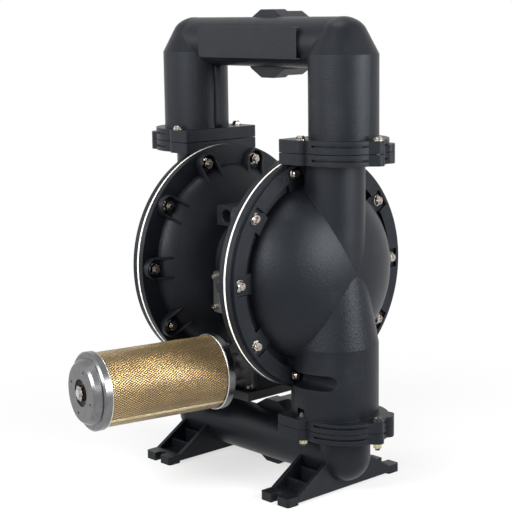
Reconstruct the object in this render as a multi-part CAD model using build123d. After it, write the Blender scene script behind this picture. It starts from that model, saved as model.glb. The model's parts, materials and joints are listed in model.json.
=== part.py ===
from build123d import *
import math
import os

os.makedirs("parts", exist_ok=True)

# Axes: X is the pump's diaphragm axis, +Y the side of the fluid ports, Z is up.
# The origin is on the ground, midway between the four foot slots. All sizes are in mm.

# --- pump axis and the two clamped discs
AXIS_Z = 373.6            # height of the connecting rod above the ground
BEAD_X0 = 111.6           # inner face of the bead, the air cap's clamping face
BEAD_T = 4.2              # thickness of the bead between the two caps
DISC_R = 202.4            # outer radius of both clamping flanges
BEAD_SET = 0.2            # how far the diaphragm's bead lies inside them
BEAD_R = DISC_R - BEAD_SET
CLAMP_COUNT = 10          # bolts round each disc
CLAMP_PCD_R = 181.0       # radius of the bolt circle
CAP_RIM_T = 10.2          # fluid cap flange thickness at its rim and bolt seats
LEDGE_H = 6.0             # raised ring on the fluid cap between the bolts
LEDGE_R0 = 172.0
LEDGE_R1 = 197.0
SEAT_W = 34.0             # width of the flat seat under each clamp bolt
SEAT_R0 = 150.0
SEAT_R1 = 191.0
CHANNEL_T = 3.2           # fluid cap flange thickness in the channel round the dome
AIR_RIM_T = 10.6          # air cap flange thickness
WALL = 8.0                # casting wall of the caps
FIT = 0.05                # radial running clearance of sliding pieces
SLIP = 0.5                # radial clearance of a bolt in its hole
SEATED = 0.3              # gap left where a loose piece rests on its seat

# --- fluid cap dome and ducts
DOME_X = 119.0            # plane of the dome's base ellipse
DOME_A = 98.0             # height of the dome
DOME_B = 156.0            # radius of the dome's base
UP_DUCT_X = 166.0
UP_DUCT_R = 51.0
UP_BORE_R = 42.0
LOW_DUCT_X = 164.2
LOW_DUCT_R = 75.0
LOW_CREASE_Z = 256.0      # where the lower duct's cylinder turns into its cone
LOW_CONE_H = 150.0
LOW_CONE_R = 47.0
LOW_BORE_R = 66.0
LOW_CHAMBER_R = 54.0      # ball chamber inside the foot of the lower duct
CHANNEL_R = 13.5          # open channels in the lower duct's sides, past the clamp bolts
CHANNEL_Y = 49.8          # where the channels' inner sides lie
SPOT_DEPTH = 12.0         # spot faces that clear those bolts' heads
HEAD_PAD_R = 11.0         # raised pads under the heads of the lower flange bolts
HEAD_PAD_H = 3.0
HEAD_POCKET_R = 10.0      # relief in the lower duct over those heads
HEAD_POCKET_H = 14.0

# --- manifold flanges
PORT_X = 187.0            # axis of the manifold tubes and of the valve seats
UP_JOINT_Z = 582.6        # plane between outlet manifold and fluid cap
LOW_JOINT_Z = 117.8       # plane between fluid cap and inlet manifold
JOINT_GAP = 1.2           # gap the seat holds open between two flanges
UP_MAN_T = 21.0
UP_CAP_T = 18.5
LOW_CAP_T = 17.0
LOW_MAN_T = 17.5
FLANGE_R = 75.0
UP_FLANGE_IN = 117.4      # inner straight edge of the upper flanges
LOW_FLANGE_IN = 108.0     # inner straight edge of the lower flanges
FLANGE_HALF_Y = 84.0
BAR_CORNER_R = 5.0
EAR_R = 11.0
FLANGE_BOLT_R = 76.0      # radius of the three-bolt circle
FLANGE_BOLT_ANGLES = (0.0, 113.0, 247.0)
LUG_ANGLE = 38.0
LUG_R = 84.0
LUG_W = 34.0
GROOVE_D = 5.0
GROOVE_H = 3.6

# --- outlet manifold
TUBE_R = 58.5
TUBE_BORE_R = 49.5
CREASE_Z = 740.7          # where the vertical tube turns into its tapered elbow
CONE_R = 37.4
CONE_H = 40.3
ELBOW_TOP_Z = 801.6
OUT_PIPE_Z = 758.9
OUT_PIPE_R = 42.3
PIPE_WALL = 7.3
NAME_PAD_L = 248.0
NAME_PAD_H = 53.0
NAME_PAD_Y = 46.0
NAME_PAD_R = 6.0

# --- inlet manifold and its feet
IN_PIPE_Z = 61.0
IN_PIPE_R = 43.0
ELBOW_R = 44.0
NECK_R = 57.5
NECK_H = 12.0
FOOT_X = 155.3            # middle of each foot rail
FOOT_W = 67.5
FOOT_Y = 137.0            # half length of the foot
PAD_L = 27.0
PAD_H = 15.0
SLOT_R = 8.0
SLOT_Y = 127.0            # centre of each open slot
WEB_T = 7.0
WEB_LIFT = 4.0            # rail's lower edge above the ground
WEB_TOP_Y = 43.0
WEB_TOP_Z = 58.0
FLOOR_T = 6.0
RIB_T = 5.0
RIB_YS = (45.0, 78.0)

# --- fluid ports, three inch female pipe threads
PORT_BORE_R = 42.5
PORT_DEPTH = 36.0
BOSS_AF = 117.0           # across the flats of the twelve-sided boss
BOSS_Y0 = 5.0
BOSS_COLLAR = 28.0
BOSS_STEP = 3.5
BOSS_Y1 = 75.0
OUT_BOSS_Z = 755.5

# --- balls and seats
BALL_R = 40.0
SEAT_BORE_R = 30.0
SEAT_OUT_R = 47.0
SEAT_H = 12.0
SEAT_CHAMFER = 3.0
RIB_CLEAR = 0.6
CAGE_RIB_T = 7.0
BALL_LIFT = 18.0

# --- rod, plates and diaphragm
ROD_R = 16.0
PLATE_IN_R = 80.0
PLATE_IN_T = 15.0
PLATE_OUT_R = 76.0
PLATE_OUT_T = 20.0
CONV_R0 = 86.0
CONV_H = 24.0
BUSH_R = 22.0
BUSH_L = 24.0

# --- air caps and centre section
HUB_X = 45.0              # half width of the centre body between the air caps
HUB_R = 84.0
BOWL_R = 168.0            # where the bowl leaves the flange
CONV_SET = 14.0           # how far the diaphragm's convolution lies inside it
CONV_R1 = BOWL_R - CONV_SET
AIR_HOLE_R = 17.0
NUT_BOSS_R = 18.5
NUT_BOSS_H = 5.0
NUT_POCKET_R = 15.0
NUT_POCKET_D = 3.5
BLOCK_X = 40.0
BLOCK_Y = 88.0
COVER_T = 6.0
COVER_Z = 329.0
COVER_H = 73.0
COVER_SCREW_X = 34.0
COVER_SCREW_Z = 27.0
SPOOL_R = 13.0
SPOOL_Y = 62.0
SPOOL_STROKE = 5.0
END_CAP_T = 4.5
INLET_Z = 466.0
INLET_R = 12.1
INLET_DEPTH = 20.0
INLET_Y = 96.0

# --- exhaust and muffler
EXHAUST_Z = 197.0
EXHAUST_Y = 66.0          # face of the exhaust chamber
CHAMBER_X = 38.0
CHAMBER_Z0 = 158.0
BASE_T = 15.0
COVER_PLATE_T = 9.0
ADAPTER_R = 24.0
ADAPTER_L = 26.0
MUFFLER_TURN = 11.0       # the silencer's yaw from -Y, in degrees
MUFFLER_R = 66.4
SLEEVE_R = 63.0
SLEEVE_T = 1.6
MUFFLER_L = 264.0
RIM_L = 15.0
MUF_FACE_R = 53.0
MUF_FACE_H = 13.0
MUF_HOLE_R = 2.2
MUF_HOLE_PCD_R = 38.0
MUF_RECESS_R = 23.0
MUF_RECESS_D = 7.0
TIE_R = 7.0

# --- fasteners
BOLT_R = 5.0              # clamp bolts
HEX_AF = 16.0
HEAD_H = 6.4
NUT_H = 8.4
WASHER_R = 10.0
WASHER_T = 2.0
FLANGE_SHANK_R = 4.0      # flange bolts
FLANGE_AF = 13.0
FLANGE_HEAD_H = 5.3
FLANGE_NUT_H = 6.8
FLANGE_WASHER_R = 9.0
FLANGE_WASHER_T = 1.6
TAPPED_L = 13.0           # thread of the upper flange bolts in the fluid cap
MUF_NUT_H = 10.0
THREAD_PROUD = 4.0
SCREW_R = 3.0
SCREW_HEAD_R = 5.0
SCREW_HEAD_H = 6.0

CAP_X0 = BEAD_X0 + BEAD_T             # fluid cap's clamping face
CAP_X1 = CAP_X0 + CAP_RIM_T
AIR_X0 = BEAD_X0 - AIR_RIM_T
UP_MAN_Z0 = UP_JOINT_Z + JOINT_GAP / 2
UP_CAP_Z1 = UP_JOINT_Z - JOINT_GAP / 2
LOW_CAP_Z0 = LOW_JOINT_Z + JOINT_GAP / 2
LOW_MAN_Z1 = LOW_JOINT_Z - JOINT_GAP / 2
PAD_TOP_Z = WEB_LIFT + FLOOR_T


def cyl_x(r, x0, x1, y=0.0, z=0.0):
    return Pos((x0 + x1) / 2, y, z) * Rot(0, 90, 0) * Cylinder(r, abs(x1 - x0))


def cyl_y(r, y0, y1, x=0.0, z=0.0):
    return Pos(x, (y0 + y1) / 2, z) * Rot(90, 0, 0) * Cylinder(r, abs(y1 - y0))


def cyl_z(r, z0, z1, x=0.0, y=0.0):
    return Pos(x, y, (z0 + z1) / 2) * Cylinder(r, abs(z1 - z0))


def block(x0, x1, y0, y1, z0, z1):
    return Pos((x0 + x1) / 2, (y0 + y1) / 2, (z0 + z1) / 2) * Box(x1 - x0, y1 - y0, z1 - z0)


def turned_x(edges):
    """Revolves a closed profile drawn as (x, r) in the XY plane about the pump axis."""
    return Pos(0, 0, AXIS_Z) * revolve(make_face(edges), Axis.X, 360)


def turned_z(edges, x=0.0, y=0.0):
    """Revolves a closed profile drawn as (r, z) in the XZ plane about a vertical axis."""
    face = Plane.XZ * make_face(edges)
    return Pos(x, y, 0) * revolve(face, Axis.Z, 360)


def clamp_spots():
    """Angles of the clamp bolts round the pump axis."""
    return [360.0 / CLAMP_COUNT * i for i in range(CLAMP_COUNT)]


def on_disc(angle, shape):
    """Turns a shape placed at +Y of the pump axis to an angle round that axis."""
    return Pos(0, 0, AXIS_Z) * Rot(angle, 0, 0) * shape


def mirrored(shape):
    return mirror(shape, Plane.YZ)


def half_turned(shape):
    return Rot(0, 0, 180) * shape


def hexagon(af, h):
    return extrude(RegularPolygon(af / math.sqrt(3), 6), h)


def make_bolt(length, r, af, head_h, washer_r, washer_t):
    """A hexagon bolt with its washer under the head: the seat is z = 0, the head points to +Z."""
    head = Pos(0, 0, washer_t) * hexagon(af, head_h)
    dome = Pos(0, 0, washer_t) * Cone(af * 0.72, af * 0.40, head_h,
                                      align=(Align.CENTER, Align.CENTER, Align.MIN))
    return (head & dome) + cyl_z(washer_r, 0, washer_t) + cyl_z(r, -length, washer_t)


def make_nut(r, af, nut_h, washer_r, washer_t):
    """A hexagon nut on its washer: the seat is z = 0 and the nut points to -Z."""
    body = Pos(0, 0, -washer_t - nut_h) * hexagon(af, nut_h) + cyl_z(washer_r, -washer_t, 0)
    return body - cyl_z(r + FIT, -washer_t - nut_h - 1, 1)


def group(shapes):
    """Identical pieces of one node, kept as separate solids."""
    return Compound(children=[s.solid() if isinstance(s, Part) and len(s.solids()) == 1 else s
                              for s in shapes])


def flange_holes(side):
    """Centres of the three bolts of one manifold flange; side is +1 right, -1 left."""
    spots = []
    for a in FLANGE_BOLT_ANGLES:
        t = math.radians(a)
        spots.append((side * (PORT_X + FLANGE_BOLT_R * math.cos(t)), side * FLANGE_BOLT_R * math.sin(t)))
    return spots


def flange_plate(z0, z1, inner_x, lug_drop=0.0, groove_z=None):
    """Right-hand manifold flange: a disc with a straight inner side, an outer ear and a cast lug."""
    h = z1 - z0
    bolt_x, bolt_y = flange_holes(1)[1]
    disc = Pos(PORT_X, 0) * Circle(FLANGE_R)
    bar = Pos((inner_x + bolt_x) / 2, 0) * Rectangle(bolt_x - inner_x, 2 * FLANGE_HALF_Y)
    bar = fillet(bar.vertices().group_by(Axis.X)[0], BAR_CORNER_R)
    for y in (bolt_y, -bolt_y):
        bar += Pos(bolt_x, y) * Circle(FLANGE_HALF_Y - bolt_y)
    inside = Pos(inner_x - FLANGE_R, 0) * Rectangle(2 * FLANGE_R, 4 * FLANGE_R)
    core = extrude((disc - inside) + bar, h)
    if groove_z is not None:
        ring = Pos(PORT_X, 0) * (Circle(FLANGE_R + 9) - Circle(FLANGE_R - GROOVE_D))
        front = Pos(PORT_X + FLANGE_R, 0) * Rectangle(2 * FLANGE_R, 4 * FLANGE_R)
        core -= Pos(0, 0, groove_z - z0) * extrude(ring & front, GROOVE_H)
    ear_x = PORT_X + FLANGE_BOLT_R
    root = Pos(PORT_X + 20, 0) * Circle(FLANGE_R - 26)
    ear = make_hull((Pos(ear_x, 0) * Circle(EAR_R)).edges() + root.edges())
    core += extrude(ear, h)
    lug = Pos(PORT_X, 0) * Rot(0, 0, LUG_ANGLE) * Pos(LUG_R / 2, 0) * Rectangle(LUG_R, LUG_W)
    lug = fillet(lug.vertices(), 12.0)
    core += extrude(lug, h - lug_drop)
    return Pos(0, 0, z0) * core


def ball_rest(seat_z):
    """Centre height of a ball that rests on the bore edge of the seat whose middle is seat_z."""
    edge_z = seat_z + SEAT_H / 2 - SEAT_CHAMFER
    return edge_z + math.sqrt(BALL_R**2 - SEAT_BORE_R**2) + SEATED


def ball_cage(ball_x, seat_top, bore_x, bore_r):
    """Cast guide ribs round a ball, with stops above it, inside a bore whose axis is at bore_x."""
    stop = ball_rest(seat_top - SEAT_H / 2) + BALL_LIFT
    top = stop + BALL_R + CAGE_RIB_T
    ribs = None
    for a in (0, 90):
        fin = Pos(ball_x, 0, (seat_top + top) / 2) * Rot(0, 0, a + 45) * Box(
            2 * bore_r + 60, CAGE_RIB_T, top - seat_top)
        ribs = fin if ribs is None else ribs + fin
    room = cyl_z(BALL_R + RIB_CLEAR, seat_top - 1, stop, ball_x)
    room += Pos(ball_x, 0, stop) * Sphere(BALL_R + RIB_CLEAR)
    room += cyl_z(BALL_R * 0.6, stop, top + 1, ball_x)
    return (ribs - room) & cyl_z(bore_r + 1, seat_top - 1, top + 1, bore_x)


# ---------------------------------------------------------------- outlet manifold
def elbow_profile(r_base, z_base, z_crease, cone_r, cone_h, top_z):
    """Half section of a vertical tube whose top tapers and rounds over, as (r, z)."""
    knee = (cone_r, z_crease + cone_h)
    rise = top_z - knee[1]
    top = (0, top_z)
    crown = Spline(knee, (cone_r * 0.7, knee[1] + rise * 0.60), (cone_r * 0.42, knee[1] + rise * 0.86), top,
                   tangents=((cone_r - r_base, cone_h), (-1, 0)))
    return (
        Line((0, z_base), (r_base, z_base))
        + Line((r_base, z_base), (r_base, z_crease))
        + Line((r_base, z_crease), knee)
        + crown
        + Line(top, (0, z_base))
    )


def port_boss(z):
    """Twelve-sided boss of a fluid port, with its larger collar at the front."""
    side = BOSS_AF / 2 / math.cos(math.pi / 12)
    collar = extrude(RegularPolygon(side, 12, rotation=15), BOSS_COLLAR)
    body = extrude(RegularPolygon(side - BOSS_STEP, 12, rotation=15), BOSS_Y1 - BOSS_Y0)
    return Pos(0, BOSS_Y0, z) * Rot(-90, 0, 0) * (collar + body)


def make_outlet_manifold():
    tubes, bores = [], []
    for side in (1, -1):
        x = side * PORT_X
        tubes.append(turned_z(elbow_profile(TUBE_R, UP_MAN_Z0, CREASE_Z, CONE_R, CONE_H, ELBOW_TOP_Z), x))
        bores.append(cyl_z(TUBE_BORE_R, UP_MAN_Z0 - 1, CREASE_Z, x)
                     + Pos(x, 0, CREASE_Z) * Cone(TUBE_BORE_R, OUT_PIPE_R - PIPE_WALL - 8, CONE_H - 6,
                                                  align=(Align.CENTER, Align.CENTER, Align.MIN)))
    body = tubes[0] + tubes[1] + cyl_x(OUT_PIPE_R, -PORT_X + 4, PORT_X - 4, z=OUT_PIPE_Z)
    plate = flange_plate(UP_MAN_Z0, UP_MAN_Z0 + UP_MAN_T, UP_FLANGE_IN, 9.0, UP_MAN_Z0 + UP_MAN_T * 0.5)
    body += plate + half_turned(plate)
    body += port_boss(OUT_BOSS_Z)
    pad = extrude(Plane.XZ * RectangleRounded(NAME_PAD_L, NAME_PAD_H, NAME_PAD_R), NAME_PAD_Y / 2)
    body += Pos(0, -NAME_PAD_Y / 2, OUT_PIPE_Z) * pad
    body -= bores[0] + bores[1] + cyl_x(OUT_PIPE_R - PIPE_WALL, -PORT_X + 5, PORT_X - 5, z=OUT_PIPE_Z)
    body -= cyl_y(PORT_BORE_R, BOSS_Y1 - PORT_DEPTH, BOSS_Y1 + 1, z=OUT_BOSS_Z)
    body -= cyl_y(OUT_PIPE_R - PIPE_WALL, 0, BOSS_Y1, z=OUT_BOSS_Z)
    for side in (1, -1):
        body -= cyl_z(SEAT_OUT_R + FIT, UP_MAN_Z0 - 1, UP_JOINT_Z + SEAT_H / 2, side * PORT_X)
        for x, y in flange_holes(side):
            body -= cyl_z(FLANGE_SHANK_R + SLIP, UP_MAN_Z0 - 1, UP_MAN_Z0 + UP_MAN_T + 1, x, y)
        body += ball_cage(side * PORT_X, UP_JOINT_Z + SEAT_H / 2, side * PORT_X, TUBE_BORE_R)
    return body


# ---------------------------------------------------------------- inlet manifold and feet
def make_foot():
    """Right-hand foot rail: two slotted pads, a floor, sloping side webs and cross ribs."""
    x0, x1 = FOOT_X - FOOT_W / 2, FOOT_X + FOOT_W / 2
    slope = [(-FOOT_Y + PAD_L - 2, WEB_LIFT), (-FOOT_Y + PAD_L - 2, PAD_H), (-WEB_TOP_Y, WEB_TOP_Z),
             (WEB_TOP_Y, WEB_TOP_Z), (FOOT_Y - PAD_L + 2, PAD_H), (FOOT_Y - PAD_L + 2, WEB_LIFT)]
    web = extrude(Plane.YZ * make_face(Polyline(*slope, close=True)), WEB_T)
    rail = Pos(x0, 0, 0) * web + Pos(x1 - WEB_T, 0, 0) * web
    rail += block(x0, x1, -FOOT_Y + PAD_L - 2, FOOT_Y - PAD_L + 2, WEB_LIFT, PAD_TOP_Z)
    for side in (1, -1):
        pad = block(x0, x1, -PAD_L / 2, PAD_L / 2, 0, PAD_H)
        pad = fillet(pad.edges().filter_by(Axis.Z), 5.0)
        slot = cyl_z(SLOT_R, -1, PAD_H + 1, FOOT_X, side * SLOT_Y)
        slot += block(FOOT_X - SLOT_R, FOOT_X + SLOT_R, min(side * SLOT_Y, side * (FOOT_Y + 1)),
                      max(side * SLOT_Y, side * (FOOT_Y + 1)), -1, PAD_H + 1)
        rail += Pos(0, side * (FOOT_Y - PAD_L / 2), 0) * pad
        rail -= slot
        for y in RIB_YS:
            top = PAD_H + (WEB_TOP_Z - PAD_H) * (FOOT_Y - PAD_L - y) / (FOOT_Y - PAD_L - WEB_TOP_Y) * 0.55
            rail += block(x0 + 1, x1 - 1, side * y - RIB_T / 2, side * y + RIB_T / 2, PAD_TOP_Z - 1, top)
    return rail


def round_ended(r, z_ball, z_neck, r_top, z_top):
    """Half section of an upright tube with a ball-shaped lower end and a tapered neck, as (r, z)."""
    ball = CenterArc((0, z_ball), r, -90, 90)
    return (ball + Line((r, z_ball), (r, z_neck)) + Line((r, z_neck), (r_top, z_top))
            + Line((r_top, z_top), (0, z_top)) + Line((0, z_top), (0, z_ball - r)))


def make_inlet_manifold():
    z0 = LOW_MAN_Z1 - LOW_MAN_T
    body = cyl_x(IN_PIPE_R, -PORT_X + 4, PORT_X - 4, z=IN_PIPE_Z)
    for side in (1, -1):
        x = side * PORT_X
        body += turned_z(round_ended(ELBOW_R, IN_PIPE_Z, z0 - NECK_H, NECK_R, z0), x)
    plate = flange_plate(z0, LOW_MAN_Z1, LOW_FLANGE_IN, 0.0, z0 + LOW_MAN_T * 0.45)
    body += plate + half_turned(plate)
    foot = make_foot()
    body += foot + mirrored(foot)
    body += port_boss(IN_PIPE_Z)
    bore = IN_PIPE_R - PIPE_WALL
    body -= cyl_x(bore, -PORT_X + 5, PORT_X - 5, z=IN_PIPE_Z)
    body -= cyl_y(bore, 0, BOSS_Y1, z=IN_PIPE_Z)
    body -= cyl_y(PORT_BORE_R, BOSS_Y1 - PORT_DEPTH, BOSS_Y1 + 1, z=IN_PIPE_Z)
    for side in (1, -1):
        x = side * PORT_X
        bore = round_ended(ELBOW_R - PIPE_WALL, IN_PIPE_Z, z0 - NECK_H, SEAT_BORE_R, LOW_JOINT_Z)
        body -= turned_z(bore, x)
        body -= cyl_z(SEAT_OUT_R + FIT, LOW_JOINT_Z - SEAT_H / 2, LOW_MAN_Z1 + 1, x)
        for bx, by in flange_holes(side):
            body -= cyl_z(FLANGE_SHANK_R + SLIP, z0 - NECK_H, LOW_MAN_Z1 + 1, bx, by)
            nut_end = z0 - FLANGE_NUT_H - FLANGE_WASHER_T - THREAD_PROUD - 1
            body -= cyl_z(FLANGE_WASHER_R + 1.0, nut_end, z0, bx, by)
    return body


# ---------------------------------------------------------------- fluid caps
def dome_profile(inset):
    """Half section of the domed fluid chamber, as (x, r)."""
    a, b = DOME_A - inset, DOME_B - inset
    arc = EllipticalCenterArc((DOME_X, 0), a, b, start_angle=0, arc_size=90)
    return (arc + Line((DOME_X, b), (CAP_X0, b)) + Line((CAP_X0, b), (CAP_X0, 0))
            + Line((CAP_X0, 0), (DOME_X + a, 0)))


def clamp_flange_profile():
    """Section of the fluid cap's clamping flange with its raised ledge, as (x, r)."""
    r_in = DOME_B - WALL
    pts = [(CAP_X0, r_in), (CAP_X0, DISC_R), (CAP_X1, DISC_R), (CAP_X1, LEDGE_R1),
           (CAP_X1 + LEDGE_H, LEDGE_R1), (CAP_X1 + LEDGE_H, LEDGE_R0),
           (CAP_X0 + CHANNEL_T, LEDGE_R0), (CAP_X0 + CHANNEL_T, r_in)]
    return Polyline(*pts, close=True)


def clamp_channels(extra):
    """Channels and spot faces that free the clamp bolts beside the lower duct, grown for the core."""
    z = AXIS_Z + CLAMP_PCD_R * math.sin(math.radians(-72))
    r, x0, x1 = CHANNEL_R + extra, CAP_X1 - extra, LOW_DUCT_X + LOW_DUCT_R
    shapes = []
    for side, a in ((1, -72), (-1, -108)):
        y = side * (CHANNEL_Y + CHANNEL_R)
        lo, hi = sorted((y, side * (LOW_DUCT_R + 5)))
        slot = (cyl_x(r, x0, x1, y, z) + block(x0, x1, lo, hi, z - r, z + r)) & cyl_z(
            LOW_DUCT_R + 0.5, z - r - 1, z + r + 1, LOW_DUCT_X)
        spot = on_disc(a, cyl_x(WASHER_R + SLIP + extra, x0, CAP_X1 + SPOT_DEPTH + extra, y=CLAMP_PCD_R))
        shapes += [slot, spot]
    return shapes


def make_fluid_cap():
    """Right-hand fluid cap: clamping flange, dome, two ducts and their manifold flanges."""
    body = turned_x(clamp_flange_profile())
    for a in clamp_spots():
        notch = block(CAP_X1, CAP_X1 + LEDGE_H + 1, SEAT_R0, SEAT_R1, -SEAT_W / 2, SEAT_W / 2)
        seat = block(CAP_X0, CAP_X1, SEAT_R0, SEAT_R1, -SEAT_W / 2, SEAT_W / 2)
        body -= on_disc(a, notch)
        body += on_disc(a, seat)
        body -= on_disc(a, cyl_x(WASHER_R + SLIP, CAP_X1, CAP_X1 + LEDGE_H + 1, y=CLAMP_PCD_R))
    body += turned_x(dome_profile(0))
    floor = LOW_CAP_Z0 + LOW_CAP_T
    low = cyl_z(LOW_DUCT_R, floor - 1, LOW_CREASE_Z, LOW_DUCT_X)
    low += Pos(LOW_DUCT_X, 0, LOW_CREASE_Z) * Cone(LOW_DUCT_R, LOW_CONE_R, LOW_CONE_H,
                                                   align=(Align.CENTER, Align.CENTER, Align.MIN))
    shelf = AXIS_Z - DISC_R - 2
    ducts = low + cyl_z(UP_DUCT_R, AXIS_Z, UP_CAP_Z1 - 1, UP_DUCT_X)
    body += ducts - block(0, CAP_X0, -DISC_R, DISC_R, shelf, UP_JOINT_Z)
    body += flange_plate(UP_CAP_Z1 - UP_CAP_T, UP_CAP_Z1, UP_FLANGE_IN, 0.0, UP_CAP_Z1 - UP_CAP_T * 0.62)
    body += flange_plate(LOW_CAP_Z0, LOW_CAP_Z0 + LOW_CAP_T, LOW_FLANGE_IN, 0.0, LOW_CAP_Z0 + LOW_CAP_T * 0.5)
    # fluid passages
    body -= turned_x(dome_profile(WALL))
    body -= cyl_z(UP_BORE_R, AXIS_Z, UP_CAP_Z1 - UP_CAP_T, UP_DUCT_X)
    body -= cyl_z(SEAT_BORE_R, UP_CAP_Z1 - UP_CAP_T - 1, UP_CAP_Z1 + 1, PORT_X)
    body -= cyl_z(SEAT_OUT_R + FIT, UP_JOINT_Z - SEAT_H / 2, UP_CAP_Z1 + 1, PORT_X)
    chamber_z1 = floor + HEAD_POCKET_H + WALL
    cavity = cyl_z(LOW_BORE_R, floor, chamber_z1 + 1, LOW_DUCT_X)
    cavity &= cyl_z(LOW_CHAMBER_R, floor, chamber_z1 + 1, PORT_X)
    cavity += cyl_z(LOW_BORE_R, chamber_z1, LOW_CREASE_Z, LOW_DUCT_X)
    cavity += Pos(LOW_DUCT_X, 0, LOW_CREASE_Z) * Cone(LOW_BORE_R, LOW_CONE_R - WALL - 4, LOW_CONE_H - 40,
                                                     align=(Align.CENTER, Align.CENTER, Align.MIN))
    cavity -= block(0, CAP_X0 + WALL, -DISC_R, DISC_R, shelf - WALL, AXIS_Z - DOME_B + WALL + 6)
    for core, pocket in zip(clamp_channels(WALL), clamp_channels(0)):
        cavity -= core
        body -= pocket
    body -= cavity
    body -= cyl_z(SEAT_OUT_R + FIT, LOW_CAP_Z0 - 1, LOW_JOINT_Z + SEAT_H / 2, PORT_X)
    body -= cyl_z(BALL_R + RIB_CLEAR, LOW_CAP_Z0, floor + 1, PORT_X)
    cage = ball_cage(PORT_X, LOW_JOINT_Z + SEAT_H / 2, LOW_DUCT_X, LOW_BORE_R)
    body += cage & cavity
    for a in clamp_spots():
        body -= on_disc(a, cyl_x(BOLT_R + SLIP, CAP_X0 - 1, CAP_X1 + 1, y=CLAMP_PCD_R))
    for x, y in flange_holes(1):
        body -= cyl_z(FLANGE_SHANK_R + FIT, UP_CAP_Z1 - TAPPED_L - 2, UP_CAP_Z1 + 1, x, y)
        pad_z = floor + HEAD_PAD_H
        body += cyl_z(HEAD_PAD_R, floor - 1, pad_z, x, y)
        body -= cyl_z(FLANGE_SHANK_R + SLIP, LOW_CAP_Z0 - 1, pad_z + 1, x, y)
        body -= cyl_z(HEAD_POCKET_R, pad_z, pad_z + HEAD_POCKET_H, x, y)
    return body


# ---------------------------------------------------------------- air caps
def air_cap_profile():
    """Half section of the bowl-shaped air cap: flange outside, hub face at the centre, as (x, r)."""
    t = WALL
    outer = [(AIR_X0, BOWL_R), (AIR_X0 - 9, BOWL_R - 3), (74, BOWL_R - 22), (56, BOWL_R - 52), (HUB_X, HUB_R)]
    inner = [(HUB_X + t, HUB_R - 4), (56 + t, BOWL_R - 60), (74 + t, BOWL_R - 32), (BEAD_X0, CONV_R1 + 2)]
    return (
        Line((BEAD_X0, CONV_R1 + 2), (BEAD_X0, DISC_R))
        + Line((BEAD_X0, DISC_R), (AIR_X0, DISC_R))
        + Line((AIR_X0, DISC_R), outer[0])
        + Spline(*outer)
        + Line(outer[-1], (HUB_X, AIR_HOLE_R + 1))
        + Line((HUB_X, AIR_HOLE_R + 1), (HUB_X + t, AIR_HOLE_R + 1))
        + Line((HUB_X + t, AIR_HOLE_R + 1), inner[0])
        + Spline(*inner)
    )


def make_air_cap():
    """Right-hand air cap with a walled pocket for each clamp nut."""
    body = turned_x(air_cap_profile())
    for a in clamp_spots():
        boss = cyl_x(NUT_BOSS_R, AIR_X0 - NUT_BOSS_H, AIR_X0 + 1, y=CLAMP_PCD_R)
        body += on_disc(a, boss)
    for a in clamp_spots():
        seat_x = AIR_X0 - NUT_BOSS_H
        pocket = cyl_x(NUT_POCKET_R, seat_x - 30, seat_x + NUT_POCKET_D, y=CLAMP_PCD_R)
        hole = cyl_x(BOLT_R + SLIP, seat_x - 1, BEAD_X0 + 1, y=CLAMP_PCD_R)
        body -= on_disc(a, pocket + hole)
    return body


# ---------------------------------------------------------------- diaphragm, rod and plates
def make_diaphragm():
    """Right-hand diaphragm: flat bead and centre joined by one rolling convolution."""
    x0, x1 = BEAD_X0, BEAD_X0 + BEAD_T
    mid = (CONV_R0 + CONV_R1) / 2
    lower = ThreePointArc((x0, CONV_R0), (x0 - CONV_H, mid), (x0, CONV_R1))
    upper = ThreePointArc((x1, CONV_R1 - BEAD_T * 0.4), (x1 - CONV_H, mid), (x1, CONV_R0 + BEAD_T * 0.4))
    profile = (
        Line((x0, ROD_R + FIT), (x0, CONV_R0)) + lower + Line((x0, CONV_R1), (x0, BEAD_R))
        + Line((x0, BEAD_R), (x1, BEAD_R)) + Line((x1, BEAD_R), (x1, CONV_R1 - BEAD_T * 0.4)) + upper
        + Line((x1, CONV_R0 + BEAD_T * 0.4), (x1, ROD_R + FIT)) + Line((x1, ROD_R + FIT), (x0, ROD_R + FIT))
    )
    body = turned_x(profile)
    for a in clamp_spots():
        body -= on_disc(a, cyl_x(BOLT_R + SLIP, x0 - 1, x1 + 1, y=CLAMP_PCD_R))
    return body


def make_inner_plate():
    """Right-hand air-side plate, dished towards the rod."""
    x1 = BEAD_X0
    x0 = x1 - PLATE_IN_T
    pts = [(x1, ROD_R + FIT), (x1, PLATE_IN_R), (x1 - 4, PLATE_IN_R),
           (x0, PLATE_IN_R * 0.45), (x0, ROD_R + FIT)]
    return turned_x(Polyline(*pts, close=True))


def make_outer_plate():
    """Right-hand fluid-side plate: a smooth cap that closes the end of the rod."""
    x0 = BEAD_X0 + BEAD_T
    arc = EllipticalCenterArc((x0 + 4, 0), PLATE_OUT_T - 4, PLATE_OUT_R, start_angle=0, arc_size=90)
    profile = (Line((x0, 0), (x0, PLATE_OUT_R)) + Line((x0, PLATE_OUT_R), (x0 + 4, PLATE_OUT_R)) + arc
               + Line((x0 + PLATE_OUT_T, 0), (x0, 0)))
    return turned_x(profile)


def make_rod():
    end = BEAD_X0 + BEAD_T
    return cyl_x(ROD_R, -end, end, z=AXIS_Z)


def make_bushings():
    parts = []
    for side in (1, -1):
        x0, x1 = sorted((side * HUB_X, side * (HUB_X - BUSH_L)))
        parts.append(cyl_x(BUSH_R, x0, x1, z=AXIS_Z) - cyl_x(ROD_R + FIT, x0 - 1, x1 + 1, z=AXIS_Z))
    return group(parts)


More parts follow.
